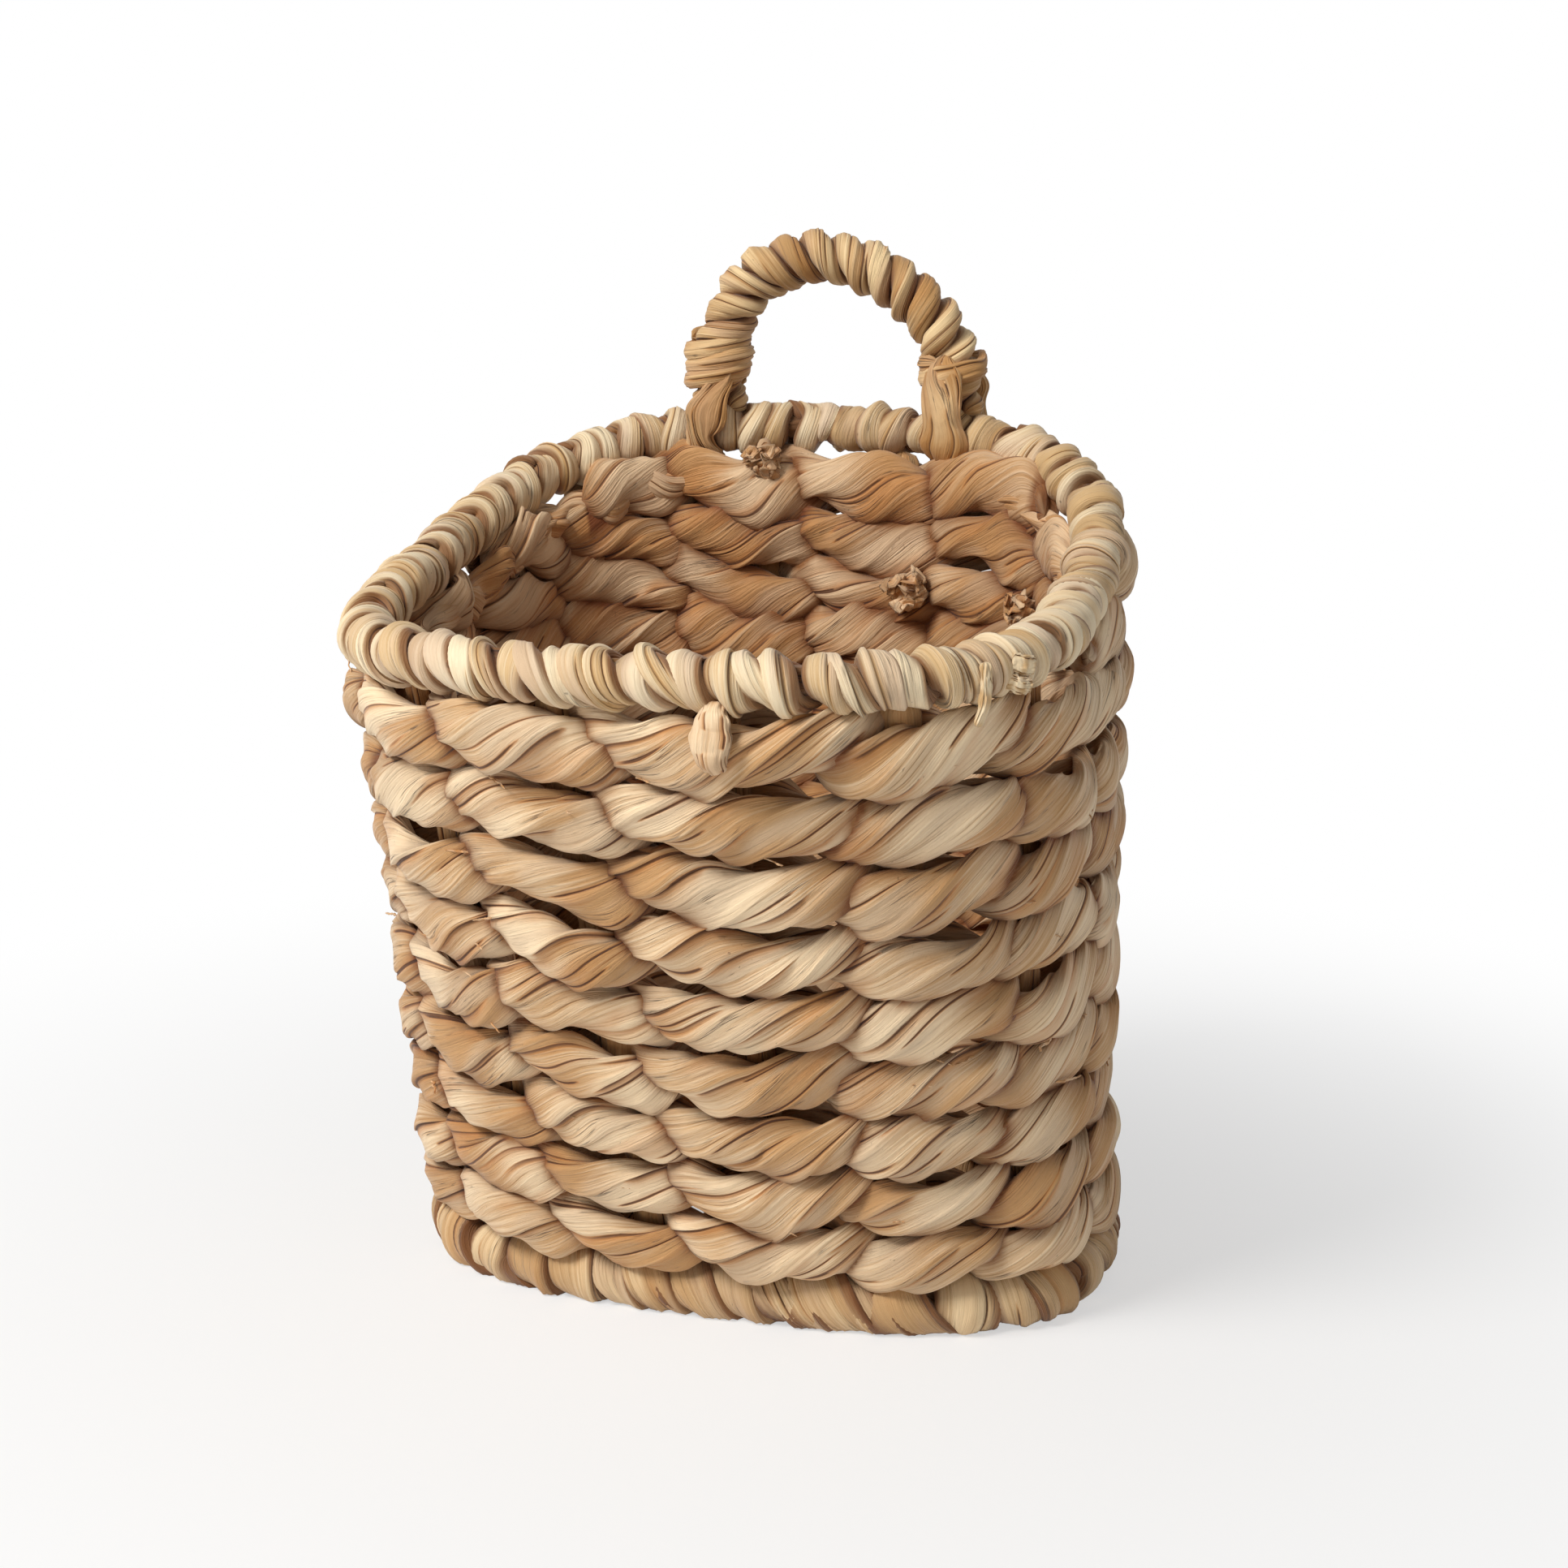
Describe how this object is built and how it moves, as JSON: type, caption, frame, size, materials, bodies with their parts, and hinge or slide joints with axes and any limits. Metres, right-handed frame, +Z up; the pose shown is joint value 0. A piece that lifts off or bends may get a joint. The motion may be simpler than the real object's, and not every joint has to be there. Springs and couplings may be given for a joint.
{
  "type": "hanging basket",
  "caption": "Wall basket twined from twisted strands of dried water plant, with a wrapped rim and foot and a rope loop at the back to hang it.",
  "frame": {"origin": "middle of the overall box at its bottom, where the foot roll stands", "axes": "+Z up, +Y towards the wall the basket hangs on, -Y out of the front, +X to the right seen from the front"},
  "size_m": [0.2284, 0.2297, 0.3323],
  "materials": {
    "weaver_strand": "matt, dried leaf with long fibres",
    "stake_rod": "matt, dried stem",
    "rim_strand": "matt, pale dried leaf",
    "base_strand": "matt, dried leaf",
    "handle_rope": "matt, twisted dried leaf",
    "core_rod": "matt, bundled stems",
    "floor_strand": "matt, flat dried leaf"
  },
  "bodies": {
    "root": {"back_row_1_a": "weaver_strand", "back_row_1_b": "weaver_strand", "back_row_2_a": "weaver_strand", "back_row_2_b": "weaver_strand", "back_row_3_a": "weaver_strand", "back_row_3_b": "weaver_strand", "base_roll": "base_strand", "floor_rod_1": "core_rod", "floor_rod_2": "core_rod", "floor_rod_3": "core_rod", "floor_rod_4": "core_rod", "floor_strand_1": "floor_strand", "floor_strand_2": "floor_strand", "floor_strand_3": "floor_strand", "floor_strand_4": "floor_strand", "folded_end": "rim_strand", "handle_lashing_left": "handle_rope", "handle_lashing_right": "handle_rope", "handle_ply_a": "handle_rope", "handle_ply_b": "handle_rope", "rim_core": "core_rod", "rim_wrap_1": "rim_strand", "rim_wrap_2": "rim_strand", "rim_wrap_3": "rim_strand", "rim_wrap_4": "rim_strand", "row_1_a": "weaver_strand", "row_1_b": "weaver_strand", "row_2_a": "weaver_strand", "row_2_b": "weaver_strand", "row_3_a": "weaver_strand", "row_3_b": "weaver_strand", "row_4_a": "weaver_strand", "row_4_b": "weaver_strand", "row_5_a": "weaver_strand", "row_5_b": "weaver_strand", "row_6_a": "weaver_strand", "row_6_b": "weaver_strand", "row_7_a": "weaver_strand", "row_7_b": "weaver_strand", "row_8_a": "weaver_strand", "row_8_b": "weaver_strand", "row_9_a": "weaver_strand", "row_9_b": "weaver_strand", "stake_01": "stake_rod", "stake_02": "stake_rod", "stake_03": "stake_rod", "stake_04": "stake_rod", "stake_05": "stake_rod", "stake_06": "stake_rod", "stake_07": "stake_rod", "stake_08": "stake_rod", "stake_09": "stake_rod", "stake_10": "stake_rod", "stake_11": "stake_rod", "stake_12": "stake_rod", "stake_13": "stake_rod", "stake_14": "stake_rod"}
  },
  "joints": []
}
